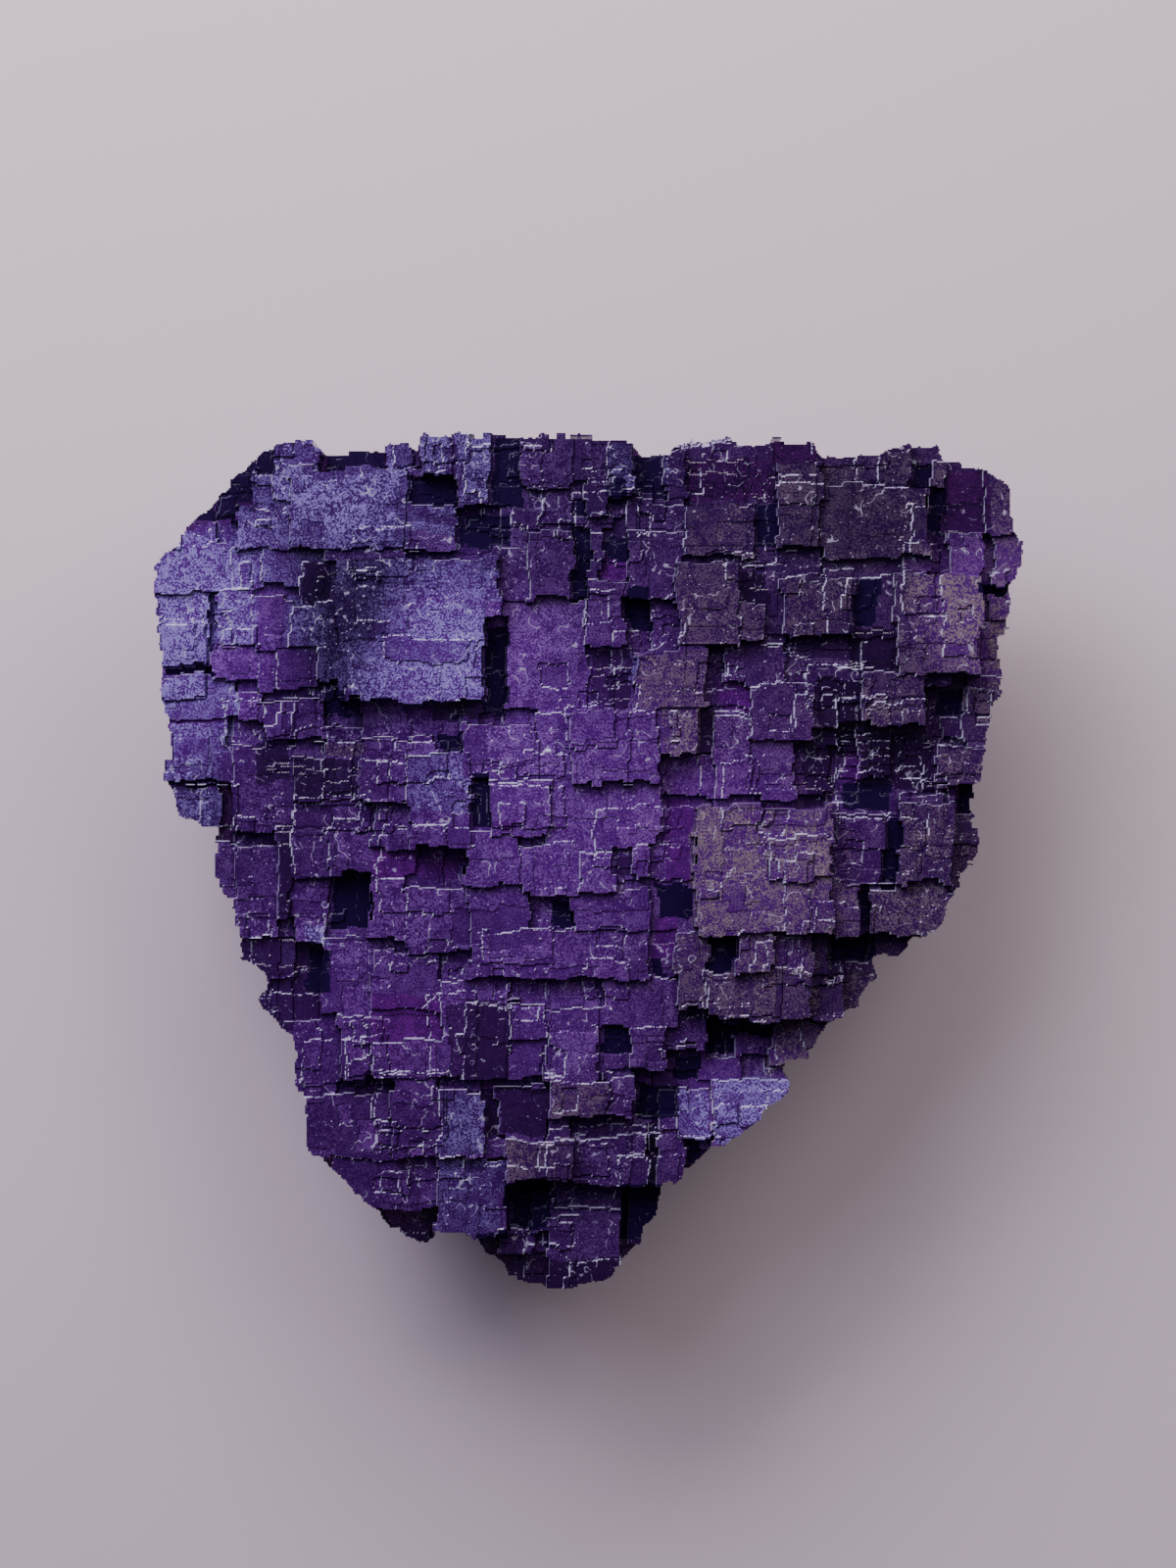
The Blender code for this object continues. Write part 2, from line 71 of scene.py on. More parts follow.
camera_data = bpy.data.cameras.new("close_up")
camera_data.sensor_width = SENSOR
camera_data.lens = FOCAL_LENGTH
camera_data.clip_start = 0.01
camera = bpy.data.objects.new("close_up", camera_data)
bpy.context.scene.collection.objects.link(camera)
camera_height = PICTURE_WIDTH * PICTURE_ASPECT * FOCAL_LENGTH / SENSOR
camera.location = (0.0, PICTURE_MIDDLE_Y, FACE_LEVEL + camera_height)
bpy.context.scene.camera = camera
print("camera", round(camera.location.z / MM), "mm above the floor")

# %% [markdown]
# ## Reading the large blocks
# The visible crystal is made anew over the solid, because its steps are finer than the solid's.
# A fine net of points is dropped on the solid from above, and another from below. The Shrinkwrap
# modifier does that for all points at once. A crystal grows in whole layers, so the heights are
# then counted in layers of equal thickness.

# %% A net of points
PITCH = 0.1 * MM
LAYER = 0.05 * MM
CELLS_WIDE, CELLS_DEEP = 600, 592
RUN_UP = 5 * MM
LEAST_DROP = 0.5 * MM
columns = (np.arange(CELLS_WIDE + 1) - CELLS_WIDE / 2) * PITCH
rows = (np.arange(CELLS_DEEP + 1) - CELLS_DEEP / 2) * PITCH + (low.y + high.y) / 2
net_x, net_y = np.meshgrid(columns, rows)
print("net of", columns.size, "by", rows.size, "points")


def drop_on_solid(start, downward):
    """Heights where the net's points, moved along Z, meet the solid, and which of them meet it."""
    points = np.stack([net_x.ravel(), net_y.ravel(), np.full(net_x.size, start)], 1)
    mesh = bpy.data.meshes.new("net")
    mesh.vertices.add(len(points))
    mesh.vertices.foreach_set("co", points.astype(np.float32).ravel())
    net = bpy.data.objects.new("net", mesh)
    bpy.context.scene.collection.objects.link(net)
    wrap = net.modifiers.new("drop", "SHRINKWRAP")
    wrap.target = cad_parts[NODE]
    wrap.wrap_method = "PROJECT"
    wrap.use_project_z = True
    wrap.use_negative_direction = downward
    wrap.use_positive_direction = not downward
    dropped = net.evaluated_get(bpy.context.evaluated_depsgraph_get()).to_mesh()
    found = np.empty(len(points) * 3, np.float32)
    dropped.vertices.foreach_get("co", found)
    bpy.data.objects.remove(net, do_unlink=True)
    bpy.data.meshes.remove(mesh)
    height = found.reshape(-1, 3)[:, 2].reshape(net_x.shape).astype(float)
    return height, np.abs(height - start) > LEAST_DROP


started = time.time()
top_height, top_found = drop_on_solid(high.z + RUN_UP, True)
bottom_height, bottom_found = drop_on_solid(low.z - RUN_UP, False)
inside = top_found & bottom_found
top = np.where(inside, np.round(top_height / LAYER), 0).astype(int)
bottom = np.where(inside, np.round(bottom_height / LAYER), 0).astype(int)
print("inside", int(inside.sum()), "points, in", round(time.time() - started, 1), "s")

# %% [markdown]
# ## Thin growth layers
# On the large blocks lie thin layers with right-angled edges. Each one is a rectangle that lifts
# or lowers its part of the face a little, and hundreds of them lie over each other. A sum of
# rectangles is quick to work out: mark the four corners, and then sum along both directions.


# %% Rectangles of thin layers
def layers(count, sizes, steps, seed):
    """Sum of rectangles: each adds its step between its left, right, near and far edges."""
    chance = np.random.default_rng(seed)
    width = chance.integers(*sizes, count)
    depth = chance.integers(*sizes, count)
    left = chance.integers(-width // 2, CELLS_WIDE - width // 2)
    near = chance.integers(-depth // 2, CELLS_DEEP - depth // 2)
    step = chance.choice(steps, count)
    corners = np.zeros((rows.size + 1, columns.size + 1), int)
    for x, y, sign in ((left, near, 1), (left + width, near, -1),
                       (left, near + depth, -1), (left + width, near + depth, 1)):
        np.add.at(corners, (np.clip(y, 0, rows.size), np.clip(x, 0, columns.size)), sign * step)
    return corners.cumsum(0).cumsum(1)[:-1, :-1]


relief = layers(260, (15, 60), (-1, 1, 2), 21) + layers(330, (5, 20), (-2, -1, 1, 3), 22)
back_relief = layers(230, (10, 45), (-3, 2, 3), 23)
print("layers from", relief.min(), "to", relief.max(), "steps of", LAYER / MM, "mm")

# %% [markdown]
# ## Frosted and clear faces
# The etched faces look frosted. On the left they are bright and lilac, on the right they are a
# warm grey, partly real frost and partly a painted reflection of the cool left lamp and the warm
# right lamp, and in the middle only a thin violet dust lies on them. Between them are clear faces,
# recesses painted black as painted shade where the light goes deep into the crystal, and a few
# windows painted with a purple glow. Noise can't place them, so the areas are listed. Each is a
# rectangle with its left, right, near and far edge in millimetres from the middle. A later area
# covers an earlier one.

# %% Areas of each kind of face
BRIGHT, LILAC_DUST, VIOLET_DUST, GREY, CLEAR, PAINTED_SHADE_RECESS, WINDOW = range(7)
AREAS = {
    BRIGHT: """
        -29 -23.7 17.9 22.4; -29 -25.3 13 17.9; -28.7 -23.5 9.4 12.5; -28.3 -24.2 5.2 9.2
        -28 -24.7 2.4 5; -23.8 -21.7 18.1 20.8; -22.4 -19.6 23.2 26; -20.9 -18 24 28
        -19.9 -12.1 22 26.3; -13.4 -11.5 26.2 28; -11 -8.8 25.5 28.5; -8.7 -6.5 23.8 28.4
        1.5 3.2 24.8 27.9; 5.2 5.6 25.2 27.1; 6.6 7.1 24.2 25.5
        8.4 13.7 -19.2 -14.6; 5.9 8.1 -18.9 -15.2; -19.2 -17.3 -5.8 -4.4; -17.5 -16.9 -7.9 -6.6
        2.6 3.6 12 13.8; -2.3 -1.2 9.2 10.1""",
    LILAC_DUST: """
        -25.3 -21.9 14.5 21.3; -21.8 -17.5 18.5 22; -23.6 -20.1 20.7 23.9; -19.9 -12.1 20.9 22
        -20.3 -17 14.2 18; -16.7 -7.1 10.6 17.2; -16.7 -6 17.2 20.1; -18 -16.6 11.9 14.3
        -12 -8.6 21.8 23.8; -9.9 -7 -19.7 -15.5; -10.1 -5.4 -24.8 -20; -12 -7.7 3.4 7.4""",
    VIOLET_DUST: """
        -25.2 -22.2 12.3 14.2; -22 -18 11.4 14.2; -12 -8.6 20.5 21.8; -4.4 -1 25 28
        -3.1 -1.1 22.5 24.8; -1 1.1 25.3 28; 2.6 6.3 22.2 24.4; 5.8 6.8 25.2 27
        5.4 11.3 27 29; -3.9 -1 17.4 21.9; 0.1 0.9 18.3 21.8; 0 2.4 14.3 18.6
        4.2 5.9 14.3 18.3; -5.5 0 10.2 17.3; 2.6 6.4 17.5 22.1; 9.1 13.1 11.6 14.4
        10.8 15.4 7.8 11.8; -8.3 -3.4 5.7 9.1; -3.3 -1.2 7 10; -1.1 4.9 5.2 10
        -6.4 -2.5 1.4 5.5; -8 -4.3 -1.7 1.9; -2.6 4.9 0.9 4.9; -4.2 0 -2.4 1.1
        0 4.3 -1.9 0.7; -3.6 4.1 -7.9 -1.9; -8 -3.6 -7.9 -2; 8.4 14.4 4 9.6
        5 7.6 4.3 7; -24.7 -22.5 5.2 7.3; -15.1 -12 4 8.2; -12 -7.7 0.7 3.4
        -17.5 -15.1 8 9; -23.7 -20.8 -5.4 0.8; -25.2 -23.7 -2.4 0.8; -19.8 -17.2 -0.9 3.9
        -14.4 -12 -5.3 -1; -12 -8.2 -6.1 -1.9; -17.4 -14.4 -10.5 -5.2; -5 0.8 -14.5 -9.5
        -19.7 -9.8 -15.6 -12; -13.1 -10.1 -19.7 -14.5; -19.2 -13.1 -19.9 -15.6
        1.4 3.1 -17.3 -14.4; -0.9 4.1 -22 -17.3
        -16.7 -10.1 -23.5 -19.7; -6 2.4 -27 -21.9; 1.2 6.1 -11.2 -7; 2.9 5.3 -13.9 -11.2
        5.5 7.9 -12.4 -10.2; 9.7 12.2 -13 -11.3; 7.5 10.4 -14.6 -13.1; 16.3 19.8 -1.4 3.1
        4.7 6.5 -21.6 -18.4; 4.7 5.9 -17.7 -15.5""",
    GREY: """
        6.4 11.1 20.4 24; 6 10 14.2 19.9; 9.8 11.7 14.6 17.1; 3.1 8 10 13.9; 5 7.5 7.1 10.2
        12.6 15.8 20.9 26.5; 15.1 18.5 24.9 26.3; 15.8 22.9 20.2 24.9; 19.4 21.6 25.1 27.5
        22.9 23.9 25.1 26.9; 26.8 28.4 22 25.5; 27 29.1 18.6 21.8; 26.9 28.6 16 17.9
        27 28.1 13.1 15.9; 25.2 27.9 8 12.4; 20.4 26.3 12.5 19.3; 13 17.8 15 19
        18.3 22.6 9 12.8; 23.2 26.2 4.8 7.6; 20.8 24.5 -1.4 3.9; 24.5 26.3 -1.7 2.9
        19.1 24 -5 -1.8; 19 22.2 -6.6 -4.8; 16.9 19.2 -10 -7; 6.9 16.3 -5 3.7
        9.9 12.4 -7.4 -5; 12.4 18.3 -5 -1.4; 5.9 8.3 -10 -4.7; 8.2 15 -10.7 -7.2
        14.4 17 -10.2 -5.3; 12.4 15.9 -13.5 -10.5; -2.7 1.4 -17.2 -14.8
        -5.6 -0.9 -21.6 -18.7; 12 13.5 -14.4 -13.2; -17.6 -15 7 7.9""",
    CLEAR: """
        -19.2 -17 17.4 20; -10.4 -5.4 9.4 10.6; 0.2 2.8 10.2 14; 6.8 12.4 24.4 27
        12.4 15.7 26.5 28.2; 10.2 12 17 19.3; 15.3 18.3 7.2 12.4; 24 27 22 26.3
        17.3 20.4 12.8 15.7; 17 23 4.8 9; 7.5 8.5 7 10; 1.8 3 -0.9 0.4; 14.4 16.4 3.9 7.8
        -22.5 -20.2 5.2 8; -20 -15.3 4.2 6.9; -20.8 -19.9 -4 2.5; -23.6 -19.7 -8 -5.5
        -22 -19.7 -11.3 -8; -9.5 -5 -14.5 -9.4; -6.9 -6 -18.5 -15.7; -6 -2.8 -18.4 -15.1
        4 4.6 -21.5 -17""",
    PAINTED_SHADE_RECESS: """
        -28.6 -25 12.5 13; -28.2 -24.8 5 5.3; -25.2 -23.7 22.9 27; -17.9 -13.4 26.4 28.4
        -23.7 -22.3 24.1 27.6; -22.3 -20.9 25.7 28.4; -27.5 -25.2 23.2 26; -18 -16 9.5 11.3
        -12.1 -8.8 23.9 25.7; -8.5 -5.2 20.8 23.1; -6.4 -4.4 23.5 28.4; -1 -0.2 23 24.4
        1.2 2.5 23.8 25.5; 3.2 5 24.3 27.4; -7 -5.4 9.7 15.6; -1 0.1 17.3 22
        0.9 2.6 20.2 21.7; 2.5 4.2 15.3 18.5; 11.1 12.5 21.1 24; 21.7 22.8 25.1 26.5
        22.8 24 21.7 25; 25.9 28.3 17.8 18.6; 17.8 19.4 15.8 19; 23.4 25.1 9.5 11.5
        16.8 20.1 3.2 5.1; 19.8 20.8 -1.4 2.7; 24.7 26 3 5; 18.3 19.1 -4.4 -1.8
        16.2 19.1 -6.9 -5; 7.9 9.7 -7.3 -5; 8 12.4 -11.7 -10.6; 4.5 6.9 -3.9 -1.4
        4.3 5.2 -7.9 -6.5; -7.7 -6.4 2 6.1; -2.6 -1 -4.4 -2.6; -10 -8.5 7.3 8.6
        -17.2 -14.7 -4.7 -1; -19 -17.4 -9 -6; -5.3 -2.6 -24.9 -21.8; -7.4 -5.2 -25.6 -24.9
        0.9 2.8 -12.9 -11.2; 3.2 5.9 -17.5 -14.9; 7.9 9.6 -13 -11; 5.8 7.5 -14.5 -12.9
        6.5 7.6 -20.4 -18.8; 2.4 5 -25.6 -21.7""",
    WINDOW: """
        0.9 2.6 18.7 20.2; 8.8 10.8 9.8 11.7; 17 18.2 5.3 7.6; 5 6.9 1.4 4.2; 5.2 6.9 -1.3 1.3
        4.3 5.9 -6.6 -3.9; -6.2 -5 1.9 2.6; -14.4 -8.4 -1.2 0.7; -14.7 -9.8 -12 -9
        -6.7 -6 -15.6 -14.7; 3.1 4.4 -14.8 -13.9""",
}
FROST = {BRIGHT: 0.95, LILAC_DUST: 0.7, VIOLET_DUST: 0.5, GREY: 0.85, CLEAR: 0.12,
         PAINTED_SHADE_RECESS: 0.0, WINDOW: 0.1}
print("areas", sum(text.count(";") + text.count("\n") for text in AREAS.values()))

# %% [markdown]
# Within an area the brightness changes softly, as a face that is not quite flat mirrors the room.
# A few soft round spots paint that into the colour: painted sheen where the frost would catch the
# light, painted shade where it would mirror the dark side of the room, and a painted purple glow
# where light would come through.

# %% Painted bright, dark and glowing spots
# Painted sheen, shade and glow spots: middle x, middle y and reach in millimetres, and strength
PAINTED_SHEEN_SPOTS = [(-29, 15, 6.5, 2.4), (-17, 24, 6, 0.20), (-9, 13.5, 4.5, 1.7), (11, 0, 7, 0.9),
         (11, -17, 4, 2.0), (27, 17, 4, 1.7), (-1, 4, 10, 0.85), (-3, -9, 8, 0.5),
         (-8, -22, 4, 0.2), (-18, -8, 7, 0.35)]
LEAST_PAINTED_LIGHT = 0.05
PAINTED_SHADE_SPOTS = [(18, 24, 9, 0.25), (2, 25, 8, 0.20), (15, -6, 6, 0.1), (-16, 16.5, 4.5, 0.5)]
PAINTED_GLOW_SPOTS = [(-12, -15, 8, 0.45), (-1, -8, 6, 0.3), (6, 3, 5, 0.4), (-15, -1, 6, 0.25), (2, 14, 6, 0.2)]


def spot(x, y, reach, strength):
    """A soft round spot: strength * exp(-(distance / reach) ** 2)."""
    distance2 = (net_x / MM - x) ** 2 + (net_y / MM - y) ** 2
    return strength * np.exp(-distance2 / reach ** 2)


# Painted light: the painted sheen spots, less the painted shade spots
painted_light = np.maximum(LEAST_PAINTED_LIGHT, np.max([spot(*numbers) for numbers in PAINTED_SHEEN_SPOTS], axis=0))
painted_light = painted_light - np.max([spot(*numbers) for numbers in PAINTED_SHADE_SPOTS], axis=0)
# Painted glow: purple light painted where it would come through the crystal
painted_glow = np.max([spot(*numbers) for numbers in PAINTED_GLOW_SPOTS], axis=0)
print("sheen from", round(float(painted_light.min()), 2), "to", round(float(painted_light.max()), 2))

# %% [markdown]
# ## Cracks and recesses
# Cracks narrower than half a millimetre are closed in the real crystal, and the narrow clear
# recesses between the blocks are shallow. Raising every point to the highest of its neighbours
# fills them, and lowering every point to the lowest of its neighbours then puts the outer edges
# back where they were.


# %% Closing cracks and filling recesses
def highest_near(field, reach):
    """The largest value within a square of 2 * reach + 1 points."""
    for axis in (0, 1):
        moved = [np.roll(field, step, axis) for step in range(-reach, reach + 1)]
        field = np.max(moved, axis=0)
    return field


CRACK_REACH = 2
RECESS_REACH, RECESS_DEPTH = 16, 12
solid_top = top
closed = -highest_near(-highest_near(solid_top, CRACK_REACH), CRACK_REACH)
shallow = -highest_near(-highest_near(solid_top, RECESS_REACH), RECESS_REACH) - RECESS_DEPTH
top = np.where(inside, np.maximum(closed, shallow), 0)
print("filled at", int((top > solid_top).sum()), "points")

# %% [markdown]
# ## The kind of each point
# Outside the chosen areas the high faces are dusty and the low ones are clear, as on the real
# crystal, where dust and etching only reach what stands out.

# %% The kind of each point
DUSTY_ABOVE = 16.4 * MM


def area_rows(text):
    """The edges of one kind of area, four to a row."""
    numbers = np.array([float(word) for word in text.replace(";", " ").split()])
    return numbers.reshape(-1, 4) * MM


kind = np.where(top * LAYER > DUSTY_ABOVE, VIOLET_DUST, CLEAR)
for name, text in AREAS.items():
    for left, right, near, far in area_rows(text):
        kind[(net_x > left) & (net_x < right) & (net_y > near) & (net_y < far)] = name
for name in range(len(FROST)):
    print("kind", name, "covers", int((kind[inside] == name).mean() * 100), "percent")

# %% [markdown]
# ## Jogs
# The edge of a growth step is never quite straight. It runs a short way, jogs sideways, and runs
# on. Cutting each edge by hand would take long, so every row and every column of the net is moved
# by a few whole squares, and keeps that move only for a short run. The heights and the kinds of
# face move together.


# %% Moving the net in runs
def dice(first, second, seed):
    """A number from 0 to 1 for each pair of whole numbers: the far digits of a large sine."""
    return (np.sin(first * 12.9898 + second * 78.233 + seed * 37.719) * 43758.5453) % 1.0


def jogs(along, across, run, band, reach, seed):
    """Whole jogs from -reach to reach that hold for one run of a band: round(spread of a dice)."""
    belt = across // band
    cell = (along + (run * dice(belt, belt, seed + 0.5)).astype(int)) // run
    return np.round(reach * (2.0 * dice(cell, belt, seed) - 1.0)).astype(int)


# Run, band and reach of short and long jogs, in squares
SHORT_X, LONG_X = (6, 23, 1.2), (19, 31, 2.0)
SHORT_Y, LONG_Y = (7, 21, 1.2), (21, 29, 2.0)
column, row = np.meshgrid(np.arange(columns.size), np.arange(rows.size))
jog_x = jogs(row, column, *SHORT_X, 1) + jogs(row, column, *LONG_X, 2)
jog_y = jogs(column, row, *SHORT_Y, 3) + jogs(column, row, *LONG_Y, 4)
print("jogs from", jog_x.min(), "to", jog_x.max(), "squares")

# %% [markdown]
# The jogged heights then take the thin growth layers. The flat rest face keeps its level, and the
# rest of the back stays a little above the floor.

# %% Heights with jogs and thin layers
MOST_ABOVE = 0.2 * MM
LOWEST_STEP = 4
from_row = np.clip(row + jog_y, 0, rows.size - 1)
from_column = np.clip(column + jog_x, 0, columns.size - 1)
inside = inside[from_row, from_column]
kind = kind[from_row, from_column]
relief = relief[from_row, from_column]
highest = int((high.z + MOST_ABOVE) / LAYER)
top = np.minimum(top[from_row, from_column] + relief, highest)
resting = bottom[from_row, from_column] < 1
bottom = bottom[from_row, from_column] + back_relief[from_row, from_column]
bottom = np.where(resting, 0, np.maximum(bottom, LOWEST_STEP))
print("top up to", round(float(top.max() * LAYER / MM), 2), "mm")

# %% [markdown]
# ## Values for each square
# Two neighbouring steps of the same kind still differ, since each was etched for its own time. So
# a dice thrown for each level and layer gives every step one of three shares of frost and of painted
# glow, a purple glow painted where light would come through. The dust on them turns from lilac at
# the left to a warm grey at the right, a painted reflection of the cool left lamp and the warm right
# lamp.

# %% Frost, painted warm reflection and painted glow
FROST_SHARES = np.array([0.55, 1.0, 1.45])
PAINTED_GLOW_SHARES = np.array([0.2, 0.5, 1.0])
LEVEL = 14
COLD_X, WARM_X = -14.0 * MM, 14.0 * MM
full = inside[:-1, :-1] & inside[1:, :-1] & inside[:-1, 1:] & inside[1:, 1:]
kind = kind[:-1, :-1]
share = np.round(2.0 * dice(relief[:-1, :-1], top[:-1, :-1] // LEVEL, 5)).astype(int)
face_mark = kind * FROST_SHARES.size + share
frost = np.array([FROST[name] for name in range(len(FROST))])[kind] * FROST_SHARES[share]
# Painted reflection tint: dust turns from the cool left lamp's lilac to the warm right lamp's grey
rightward = np.clip((net_x[:-1, :-1] - COLD_X) / (WARM_X - COLD_X), 0.0, 1.0)
painted_warm_reflection = np.where(kind == GREY, 1.0, np.where(kind <= LILAC_DUST, 0.0, rightward))
# Painted glow on violet and clear faces, and full painted glow on the windows
takes_painted_glow = (kind == VIOLET_DUST) | (kind == CLEAR)
painted_glow = np.where(takes_painted_glow, painted_glow[:-1, :-1] * PAINTED_GLOW_SHARES[share], 0.0)
painted_glow = np.where(kind == WINDOW, 1.0, painted_glow)
print("frost up to", round(float(frost.max()), 2), "and glow up to", round(float(painted_glow.max()), 2))

# %% [markdown]
# ## From squares to large faces
# A net of small squares has far too many faces. Blender's Decimate modifier could join them, but
# takes minutes for a net of this size. Here squares of a row are joined while both of their long
# edges stay straight, and then equal strips of the rows below join them.


# %% Joining squares
def rectangles(height, mark, full):
    """Largest strips, then stacks of equal strips: first row, first column, depth and width."""
    bend_x = height[:, :-2] - 2 * height[:, 1:-1] + height[:, 2:]
    join = full[:, 1:] & full[:, :-1] & (mark[:, 1:] == mark[:, :-1])
    join &= (bend_x[:-1] == 0) & (bend_x[1:] == 0)
    row, first = np.nonzero(full & ~np.pad(join, ((0, 0), (1, 0))))
    last = np.nonzero(full & ~np.pad(join, ((0, 0), (0, 1))))[1]
    width = last - first + 1
    wide = np.zeros(full.shape, int)
    wide[row, first] = width
    lower = np.maximum(row - 1, 0)
    stack = (row > 0) & (wide[lower, first] == width) & (mark[lower, first] == mark[row, first])
    for side in (first, first + width):
        stack &= height[lower, side] - 2 * height[row, side] + height[row + 1, side] == 0
    order = np.lexsort((row, width, first))
    row, first, width, stack = row[order], first[order], width[order], stack[order]
    depth = np.bincount(np.cumsum(~stack) - 1)
    return row[~stack], first[~stack], depth, width[~stack]


top_parts = rectangles(top, face_mark, full)
back_parts = rectangles(bottom, np.zeros_like(face_mark), full)
print("squares", int(full.sum()), "joined to", top_parts[0].size, "and", back_parts[0].size)

# %% [markdown]
# A large face next to small ones also takes their corners into its outline, so that the surface
# has no gaps. Upright faces close the rim between the top and the back.


# %% Outlines of the faces
def rim_points(full):
    """The net's points between full and empty squares."""
    around = np.pad(full, 1).astype(int)
    count = around[:-1, :-1] + around[1:, :-1] + around[:-1, 1:] + around[1:, 1:]
    return (count > 0) & (count < 4)


def rings(parts, full, downward):
    """The used points on the outline of each rectangle in turn, and how many each one has."""
    row, first, depth, width = parts
    used = rim_points(full)
    for r in (row, row + depth):
        for c in (first, first + width):
            used[r, c] = True
    around = 2 * (depth + width)
    owner = np.repeat(np.arange(row.size), around)
    step = np.arange(owner.size) - (np.cumsum(around) - around)[owner]
    if downward:
        step = around[owner] - 1 - step
    d, w = depth[owner], width[owner]
    at_row = row[owner] + np.clip(step - w, 0, d) - np.clip(step - 2 * w - d, 0, d)
    at_column = first[owner] + np.clip(step, 0, w) - np.clip(step - w - d, 0, w)
    keep = used[at_row, at_column]
    return (at_row * columns.size + at_column)[keep], np.bincount(owner[keep])


def rim_edges(full):
    """The start and end point of each edge of the outline, with the crystal on its left."""
    number = np.arange(net_x.size).reshape(net_x.shape)
    a, b = number[:-1, :-1], number[:-1, 1:]
    c, d = number[1:, 1:], number[1:, :-1]
    around = np.pad(full, 1)
    near, far = full & ~around[:-2, 1:-1], full & ~around[2:, 1:-1]
    left, right = full & ~around[1:-1, :-2], full & ~around[1:-1, 2:]
    start = np.concatenate([a[near], c[far], d[left], b[right]])
    end = np.concatenate([b[near], d[far], a[left], c[right]])
    return start, end


top_rings, top_lengths = rings(top_parts, full, False)
back_rings, back_lengths = rings(back_parts, full, True)
start, end = rim_edges(full)
under = net_x.size
rim_rings = np.stack([start, start + under, end + under, end], 1).ravel()
corners = np.concatenate([top_rings, back_rings + under, rim_rings])
lengths = np.concatenate([top_lengths, back_lengths, np.full(start.size, 4)])
print("top", top_lengths.size, "back", back_lengths.size, "rim", start.size, "faces")

# %% [markdown]
# The points and faces go into one mesh. It is shaded flat, because crystal faces meet in sharp
# edges.

# %% The closed mesh
points = np.concatenate([np.stack([net_x, net_y, top * LAYER], -1).reshape(-1, 3),
                         np.stack([net_x, net_y, bottom * LAYER], -1).reshape(-1, 3)])
needed, corners = np.unique(corners, return_inverse=True)
mesh = bpy.data.meshes.new("crystal")
mesh.vertices.add(needed.size)
mesh.vertices.foreach_set("co", points[needed].astype(np.float32).ravel())
mesh.loops.add(corners.size)
mesh.loops.foreach_set("vertex_index", corners.ravel().astype(np.int32))
mesh.polygons.add(lengths.size)
mesh.polygons.foreach_set("loop_start", (np.cumsum(lengths) - lengths).astype(np.int32))
mesh.polygons.foreach_set("loop_total", lengths.astype(np.int32))
mesh.update(calc_edges=True)
mesh.shade_flat()
print("mesh of", needed.size, "points and", int((lengths - 2).sum()), "triangles")

# %% [markdown]
# The material needs to know what kind of face it is on. Such values are stored in the mesh, one
# for each face, or one for each point where a value should change softly. The back and the rim
# take one value each.


# %% Values on the faces and points
def add_face_values(name, on_top, on_back, on_rim):
    """Store one value per face: from its first square on top, one for the back, one for the rim."""
    values = np.concatenate([on_top[top_parts[0], top_parts[1]],
                             np.full(back_lengths.size, on_back), np.full(start.size, on_rim)])
    layer = mesh.attributes.new(name, "FLOAT", "FACE")
    layer.data.foreach_set("value", values.astype(np.float32))


def add_point_values(name, on_top, on_back):
    """Store one value per point: a field over the top's net, and a number for the back."""
    values = np.stack([on_top, np.full_like(on_top, on_back)]).ravel()[needed]
    layer = mesh.attributes.new(name, "FLOAT", "POINT")
    layer.data.foreach_set("value", values.astype(np.float32))


add_face_values("frost", frost, 0.45, 0.14)
# Painted reflection tint of the dust
add_face_values("painted_warm_reflection", painted_warm_reflection, 0.5, 0.5)
add_face_values("violet", (kind == VIOLET_DUST).astype(float), 0.5, 0.5)
# Painted glow
add_face_values("painted_glow", painted_glow, 0.0, 0.0)
# Painted shade of the black recesses
add_face_values("painted_recess_shade", (kind == PAINTED_SHADE_RECESS).astype(float), 0.0, 0.0)
add_face_values("front", np.ones(kind.shape), 0.0, 0.0)
# The painted light, as a soft field over the points
add_point_values("painted_light", painted_light, 0.5)
drop = (highest_near(top, 1) - top) * LAYER / MM
add_point_values("drop", drop, 0.0)
print("foot of a step at", int((drop > 0).sum()), "points")

# %% [markdown]
# The surface is also laid out flat, so that its colours can be stored in an image later. Blender
# could unwrap it, but the faces already lie on a net. So the top takes the largest square of the
# layout, the back a smaller one, and the upright faces of the rim stand in rows below the top.

# %% Laying the surface out flat
TOP_SPOT, TOP_SHARE = (0.01, 0.33), 0.66
BACK_SPOT, BACK_SHARE = (0.68, 0.68), 0.31
RIM_SPOT, RIM_SIZE, RIM_COLUMNS = (0.01, 0.01), (0.66, 0.31), 100
MARGIN = 0.1
plan = (points[needed][corners][:, :2] - (columns[0], rows[0])) / (columns[-1] - columns[0])
flat_top = plan[:top_rings.size] * TOP_SHARE + TOP_SPOT
flat_back = plan[top_rings.size:-rim_rings.size] * BACK_SHARE + BACK_SPOT
order = np.arange(start.size)
rim_rows = start.size // RIM_COLUMNS + 1
cell = np.stack([order % RIM_COLUMNS, order // RIM_COLUMNS], 1)[:, None, :]
square = MARGIN + (1.0 - 2.0 * MARGIN) * np.array([(0, 1), (0, 0), (1, 0), (1, 1)])
flat_rim = (cell + square).reshape(-1, 2) * RIM_SIZE / (RIM_COLUMNS, rim_rows) + RIM_SPOT
layout = mesh.uv_layers.new(name="OFBake")
flat_all = np.concatenate([flat_top, flat_back, flat_rim])
layout.data.foreach_set("uv", flat_all.astype(np.float32).ravel())
print("layout from", flat_all.min(0).round(3), "to", flat_all.max(0).round(3))

# %% [markdown]
# The crystal is one piece. It rides on the part's only body and is shown in place of the solid.

